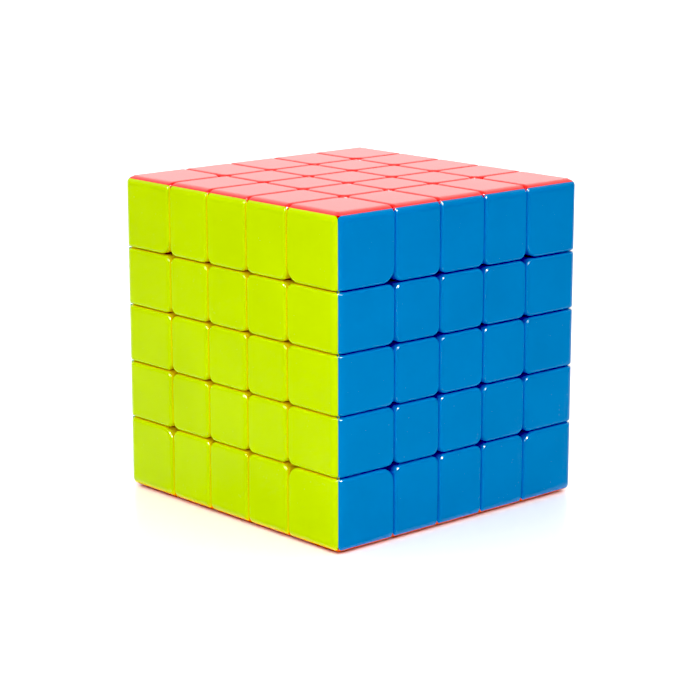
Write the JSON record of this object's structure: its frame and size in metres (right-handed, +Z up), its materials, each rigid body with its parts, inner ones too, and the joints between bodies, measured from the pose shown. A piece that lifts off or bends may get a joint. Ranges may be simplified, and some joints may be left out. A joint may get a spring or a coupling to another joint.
{
  "type": "twisty puzzle cube",
  "caption": "Sticker-free five-layer twisty puzzle cube: coloured shells locked by circular tracks around a screwed core, each turning layer on its own hinge.",
  "frame": {"origin": "centre of the cube, where every turning axis meets", "axes": "+Z up through the red side, -Y out of the yellow side, +X out of the blue side"},
  "size_m": [0.062, 0.062, 0.062],
  "materials": {
    "red_shell": "satin gloss moulded ABS, coloured right through",
    "orange_shell": "satin gloss moulded ABS, coloured right through",
    "yellow_shell": "satin gloss moulded ABS, coloured right through",
    "white_shell": "satin gloss moulded ABS, coloured right through",
    "blue_shell": "satin gloss moulded ABS, coloured right through",
    "green_shell": "satin gloss moulded ABS, coloured right through",
    "core_plastic": "matt moulded nylon",
    "screw_steel": "zinc-plated steel",
    "spring_steel": "drawn spring wire",
    "washer_steel": "punched steel"
  },
  "bodies": {
    "core": {"core": "core_plastic", "core_screws": "screw_steel", "core_springs": "spring_steel", "core_washers": "washer_steel"},
    "front_block": {"cap_front": "yellow_shell", "stem_front": "yellow_shell", "middle_centres_front": "yellow_shell"},
    "back_block": {"cap_back": "white_shell", "stem_back": "white_shell", "middle_centres_back": "white_shell"},
    "left_block": {"cap_left": "green_shell", "stem_left": "green_shell", "middle_centres_left": "green_shell"},
    "right_block": {"cap_right": "blue_shell", "stem_right": "blue_shell", "middle_centres_right": "blue_shell"},
    "middle_edge_front_left": {"middle_edge_front_left": "yellow_shell"},
    "middle_edge_back_left": {"middle_edge_back_left": "white_shell"},
    "middle_edge_front_right": {"middle_edge_front_right": "yellow_shell"},
    "middle_edge_back_right": {"middle_edge_back_right": "white_shell"},
    "bottom_block": {"cap_bottom": "orange_shell", "stem_bottom": "orange_shell", "centres_bottom": "orange_shell"},
    "top_block": {"cap_top": "red_shell", "stem_top": "red_shell", "centres_top": "red_shell"},
    "edges_bottom_front": {"edges_bottom_front": "orange_shell"},
    "edges_top_front": {"edges_top_front": "red_shell"},
    "edges_bottom_back": {"edges_bottom_back": "orange_shell"},
    "edges_top_back": {"edges_top_back": "red_shell"},
    "lower_centres_front": {"lower_centres_front": "yellow_shell"},
    "upper_centres_front": {"upper_centres_front": "yellow_shell"},
    "lower_centres_back": {"lower_centres_back": "white_shell"},
    "upper_centres_back": {"upper_centres_back": "white_shell"},
    "edges_bottom_left": {"edges_bottom_left": "orange_shell"},
    "edges_top_left": {"edges_top_left": "red_shell"},
    "edges_bottom_right": {"edges_bottom_right": "orange_shell"},
    "edges_top_right": {"edges_top_right": "red_shell"},
    "lower_centres_left": {"lower_centres_left": "green_shell"},
    "upper_centres_left": {"upper_centres_left": "green_shell"},
    "lower_centres_right": {"lower_centres_right": "blue_shell"},
    "upper_centres_right": {"upper_centres_right": "blue_shell"},
    "corner_bottom_front_left": {"corner_bottom_front_left": "orange_shell"},
    "corner_top_front_left": {"corner_top_front_left": "red_shell"},
    "corner_bottom_back_left": {"corner_bottom_back_left": "orange_shell"},
    "corner_top_back_left": {"corner_top_back_left": "red_shell"},
    "corner_bottom_front_right": {"corner_bottom_front_right": "orange_shell"},
    "corner_top_front_right": {"corner_top_front_right": "red_shell"},
    "corner_bottom_back_right": {"corner_bottom_back_right": "orange_shell"},
    "corner_top_back_right": {"corner_top_back_right": "red_shell"},
    "lower_edge_front_left": {"lower_edge_front_left": "yellow_shell"},
    "upper_edge_front_left": {"upper_edge_front_left": "yellow_shell"},
    "lower_edge_back_left": {"lower_edge_back_left": "white_shell"},
    "upper_edge_back_left": {"upper_edge_back_left": "white_shell"},
    "lower_edge_front_right": {"lower_edge_front_right": "yellow_shell"},
    "upper_edge_front_right": {"upper_edge_front_right": "yellow_shell"},
    "lower_edge_back_right": {"lower_edge_back_right": "white_shell"},
    "upper_edge_back_right": {"upper_edge_back_right": "white_shell"}
  },
  "joints": [
    {"name": "turn_front", "type": "hinge", "parent": "core", "child": "front_block", "pos_m": [0, 0, 0], "axis": [0, -1, 0], "range_deg": [-180, 180]},
    {"name": "turn_back", "type": "hinge", "parent": "core", "child": "back_block", "pos_m": [0, 0, 0], "axis": [0, 1, 0], "range_deg": [-180, 180]},
    {"name": "turn_left", "type": "hinge", "parent": "core", "child": "left_block", "pos_m": [0, 0, 0], "axis": [-1, 0, 0], "range_deg": [-180, 180]},
    {"name": "turn_right", "type": "hinge", "parent": "core", "child": "right_block", "pos_m": [0, 0, 0], "axis": [1, 0, 0], "range_deg": [-180, 180]},
    {"name": "turn_left_middle_edge_front_left", "type": "hinge", "parent": "front_block", "child": "middle_edge_front_left", "pos_m": [0, 0, 0], "axis": [-1, 0, 0], "range_deg": [-180, 180]},
    {"name": "turn_left_middle_edge_back_left", "type": "hinge", "parent": "back_block", "child": "middle_edge_back_left", "pos_m": [0, 0, 0], "axis": [-1, 0, 0], "range_deg": [-180, 180]},
    {"name": "turn_right_middle_edge_front_right", "type": "hinge", "parent": "front_block", "child": "middle_edge_front_right", "pos_m": [0, 0, 0], "axis": [1, 0, 0], "range_deg": [-180, 180]},
    {"name": "turn_right_middle_edge_back_right", "type": "hinge", "parent": "back_block", "child": "middle_edge_back_right", "pos_m": [0, 0, 0], "axis": [1, 0, 0], "range_deg": [-180, 180]},
    {"name": "turn_bottom", "type": "hinge", "parent": "core", "child": "bottom_block", "pos_m": [0, 0, 0], "axis": [0, 0, -1], "range_deg": [-180, 180]},
    {"name": "turn_top", "type": "hinge", "parent": "core", "child": "top_block", "pos_m": [0, 0, 0], "axis": [0, 0, 1], "range_deg": [-180, 180]},
    {"name": "turn_bottom_edges_bottom_front", "type": "hinge", "parent": "front_block", "child": "edges_bottom_front", "pos_m": [0, 0, 0], "axis": [0, 0, -1], "range_deg": [-180, 180]},
    {"name": "turn_top_edges_top_front", "type": "hinge", "parent": "front_block", "child": "edges_top_front", "pos_m": [0, 0, 0], "axis": [0, 0, 1], "range_deg": [-180, 180]},
    {"name": "turn_bottom_edges_bottom_back", "type": "hinge", "parent": "back_block", "child": "edges_bottom_back", "pos_m": [0, 0, 0], "axis": [0, 0, -1], "range_deg": [-180, 180]},
    {"name": "turn_top_edges_top_back", "type": "hinge", "parent": "back_block", "child": "edges_top_back", "pos_m": [0, 0, 0], "axis": [0, 0, 1], "range_deg": [-180, 180]},
    {"name": "turn_lower_slice", "type": "hinge", "parent": "front_block", "child": "lower_centres_front", "pos_m": [0, 0, 0], "axis": [0, 0, -1], "range_deg": [-180, 180]},
    {"name": "turn_upper_slice", "type": "hinge", "parent": "front_block", "child": "upper_centres_front", "pos_m": [0, 0, 0], "axis": [0, 0, 1], "range_deg": [-180, 180]},
    {"name": "turn_lower_slice_lower_centres_back", "type": "hinge", "parent": "back_block", "child": "lower_centres_back", "pos_m": [0, 0, 0], "axis": [0, 0, -1], "range_deg": [-180, 180]},
    {"name": "turn_upper_slice_upper_centres_back", "type": "hinge", "parent": "back_block", "child": "upper_centres_back", "pos_m": [0, 0, 0], "axis": [0, 0, 1], "range_deg": [-180, 180]},
    {"name": "turn_bottom_edges_bottom_left", "type": "hinge", "parent": "left_block", "child": "edges_bottom_left", "pos_m": [0, 0, 0], "axis": [0, 0, -1], "range_deg": [-180, 180]},
    {"name": "turn_top_edges_top_left", "type": "hinge", "parent": "left_block", "child": "edges_top_left", "pos_m": [0, 0, 0], "axis": [0, 0, 1], "range_deg": [-180, 180]},
    {"name": "turn_bottom_edges_bottom_right", "type": "hinge", "parent": "right_block", "child": "edges_bottom_right", "pos_m": [0, 0, 0], "axis": [0, 0, -1], "range_deg": [-180, 180]},
    {"name": "turn_top_edges_top_right", "type": "hinge", "parent": "right_block", "child": "edges_top_right", "pos_m": [0, 0, 0], "axis": [0, 0, 1], "range_deg": [-180, 180]},
    {"name": "turn_lower_slice_lower_centres_left", "type": "hinge", "parent": "left_block", "child": "lower_centres_left", "pos_m": [0, 0, 0], "axis": [0, 0, -1], "range_deg": [-180, 180]},
    {"name": "turn_upper_slice_upper_centres_left", "type": "hinge", "parent": "left_block", "child": "upper_centres_left", "pos_m": [0, 0, 0], "axis": [0, 0, 1], "range_deg": [-180, 180]},
    {"name": "turn_lower_slice_lower_centres_right", "type": "hinge", "parent": "right_block", "child": "lower_centres_right", "pos_m": [0, 0, 0], "axis": [0, 0, -1], "range_deg": [-180, 180]},
    {"name": "turn_upper_slice_upper_centres_right", "type": "hinge", "parent": "right_block", "child": "upper_centres_right", "pos_m": [0, 0, 0], "axis": [0, 0, 1], "range_deg": [-180, 180]},
    {"name": "turn_bottom_corner_bottom_front_left", "type": "hinge", "parent": "middle_edge_front_left", "child": "corner_bottom_front_left", "pos_m": [0, 0, 0], "axis": [0, 0, -1], "range_deg": [-180, 180]},
    {"name": "turn_top_corner_top_front_left", "type": "hinge", "parent": "middle_edge_front_left", "child": "corner_top_front_left", "pos_m": [0, 0, 0], "axis": [0, 0, 1], "range_deg": [-180, 180]},
    {"name": "turn_bottom_corner_bottom_back_left", "type": "hinge", "parent": "middle_edge_back_left", "child": "corner_bottom_back_left", "pos_m": [0, 0, 0], "axis": [0, 0, -1], "range_deg": [-180, 180]},
    {"name": "turn_top_corner_top_back_left", "type": "hinge", "parent": "middle_edge_back_left", "child": "corner_top_back_left", "pos_m": [0, 0, 0], "axis": [0, 0, 1], "range_deg": [-180, 180]},
    {"name": "turn_bottom_corner_bottom_front_right", "type": "hinge", "parent": "middle_edge_front_right", "child": "corner_bottom_front_right", "pos_m": [0, 0, 0], "axis": [0, 0, -1], "range_deg": [-180, 180]},
    {"name": "turn_top_corner_top_front_right", "type": "hinge", "parent": "middle_edge_front_right", "child": "corner_top_front_right", "pos_m": [0, 0, 0], "axis": [0, 0, 1], "range_deg": [-180, 180]},
    {"name": "turn_bottom_corner_bottom_back_right", "type": "hinge", "parent": "middle_edge_back_right", "child": "corner_bottom_back_right", "pos_m": [0, 0, 0], "axis": [0, 0, -1], "range_deg": [-180, 180]},
    {"name": "turn_top_corner_top_back_right", "type": "hinge", "parent": "middle_edge_back_right", "child": "corner_top_back_right", "pos_m": [0, 0, 0], "axis": [0, 0, 1], "range_deg": [-180, 180]},
    {"name": "turn_lower_slice_lower_edge_front_left", "type": "hinge", "parent": "middle_edge_front_left", "child": "lower_edge_front_left", "pos_m": [0, 0, 0], "axis": [0, 0, -1], "range_deg": [-180, 180]},
    {"name": "turn_upper_slice_upper_edge_front_left", "type": "hinge", "parent": "middle_edge_front_left", "child": "upper_edge_front_left", "pos_m": [0, 0, 0], "axis": [0, 0, 1], "range_deg": [-180, 180]},
    {"name": "turn_lower_slice_lower_edge_back_left", "type": "hinge", "parent": "middle_edge_back_left", "child": "lower_edge_back_left", "pos_m": [0, 0, 0], "axis": [0, 0, -1], "range_deg": [-180, 180]},
    {"name": "turn_upper_slice_upper_edge_back_left", "type": "hinge", "parent": "middle_edge_back_left", "child": "upper_edge_back_left", "pos_m": [0, 0, 0], "axis": [0, 0, 1], "range_deg": [-180, 180]},
    {"name": "turn_lower_slice_lower_edge_front_right", "type": "hinge", "parent": "middle_edge_front_right", "child": "lower_edge_front_right", "pos_m": [0, 0, 0], "axis": [0, 0, -1], "range_deg": [-180, 180]},
    {"name": "turn_upper_slice_upper_edge_front_right", "type": "hinge", "parent": "middle_edge_front_right", "child": "upper_edge_front_right", "pos_m": [0, 0, 0], "axis": [0, 0, 1], "range_deg": [-180, 180]},
    {"name": "turn_lower_slice_lower_edge_back_right", "type": "hinge", "parent": "middle_edge_back_right", "child": "lower_edge_back_right", "pos_m": [0, 0, 0], "axis": [0, 0, -1], "range_deg": [-180, 180]},
    {"name": "turn_upper_slice_upper_edge_back_right", "type": "hinge", "parent": "middle_edge_back_right", "child": "upper_edge_back_right", "pos_m": [0, 0, 0], "axis": [0, 0, 1], "range_deg": [-180, 180]}
  ],
  "couplings": [
    {"joint": "turn_left_middle_edge_front_left", "follows": "turn_left", "ratio": 1},
    {"joint": "turn_left_middle_edge_back_left", "follows": "turn_left", "ratio": 1},
    {"joint": "turn_right_middle_edge_front_right", "follows": "turn_right", "ratio": 1},
    {"joint": "turn_right_middle_edge_back_right", "follows": "turn_right", "ratio": 1},
    {"joint": "turn_bottom_edges_bottom_front", "follows": "turn_bottom", "ratio": 1},
    {"joint": "turn_top_edges_top_front", "follows": "turn_top", "ratio": 1},
    {"joint": "turn_bottom_edges_bottom_back", "follows": "turn_bottom", "ratio": 1},
    {"joint": "turn_top_edges_top_back", "follows": "turn_top", "ratio": 1},
    {"joint": "turn_lower_slice_lower_centres_back", "follows": "turn_lower_slice", "ratio": 1},
    {"joint": "turn_upper_slice_upper_centres_back", "follows": "turn_upper_slice", "ratio": 1},
    {"joint": "turn_bottom_edges_bottom_left", "follows": "turn_bottom", "ratio": 1},
    {"joint": "turn_top_edges_top_left", "follows": "turn_top", "ratio": 1},
    {"joint": "turn_bottom_edges_bottom_right", "follows": "turn_bottom", "ratio": 1},
    {"joint": "turn_top_edges_top_right", "follows": "turn_top", "ratio": 1},
    {"joint": "turn_lower_slice_lower_centres_left", "follows": "turn_lower_slice", "ratio": 1},
    {"joint": "turn_upper_slice_upper_centres_left", "follows": "turn_upper_slice", "ratio": 1},
    {"joint": "turn_lower_slice_lower_centres_right", "follows": "turn_lower_slice", "ratio": 1},
    {"joint": "turn_upper_slice_upper_centres_right", "follows": "turn_upper_slice", "ratio": 1},
    {"joint": "turn_bottom_corner_bottom_front_left", "follows": "turn_bottom", "ratio": 1},
    {"joint": "turn_top_corner_top_front_left", "follows": "turn_top", "ratio": 1},
    {"joint": "turn_bottom_corner_bottom_back_left", "follows": "turn_bottom", "ratio": 1},
    {"joint": "turn_top_corner_top_back_left", "follows": "turn_top", "ratio": 1},
    {"joint": "turn_bottom_corner_bottom_front_right", "follows": "turn_bottom", "ratio": 1},
    {"joint": "turn_top_corner_top_front_right", "follows": "turn_top", "ratio": 1},
    {"joint": "turn_bottom_corner_bottom_back_right", "follows": "turn_bottom", "ratio": 1},
    {"joint": "turn_top_corner_top_back_right", "follows": "turn_top", "ratio": 1},
    {"joint": "turn_lower_slice_lower_edge_front_left", "follows": "turn_lower_slice", "ratio": 1},
    {"joint": "turn_upper_slice_upper_edge_front_left", "follows": "turn_upper_slice", "ratio": 1},
    {"joint": "turn_lower_slice_lower_edge_back_left", "follows": "turn_lower_slice", "ratio": 1},
    {"joint": "turn_upper_slice_upper_edge_back_left", "follows": "turn_upper_slice", "ratio": 1},
    {"joint": "turn_lower_slice_lower_edge_front_right", "follows": "turn_lower_slice", "ratio": 1},
    {"joint": "turn_upper_slice_upper_edge_front_right", "follows": "turn_upper_slice", "ratio": 1},
    {"joint": "turn_lower_slice_lower_edge_back_right", "follows": "turn_lower_slice", "ratio": 1},
    {"joint": "turn_upper_slice_upper_edge_back_right", "follows": "turn_upper_slice", "ratio": 1}
  ]
}
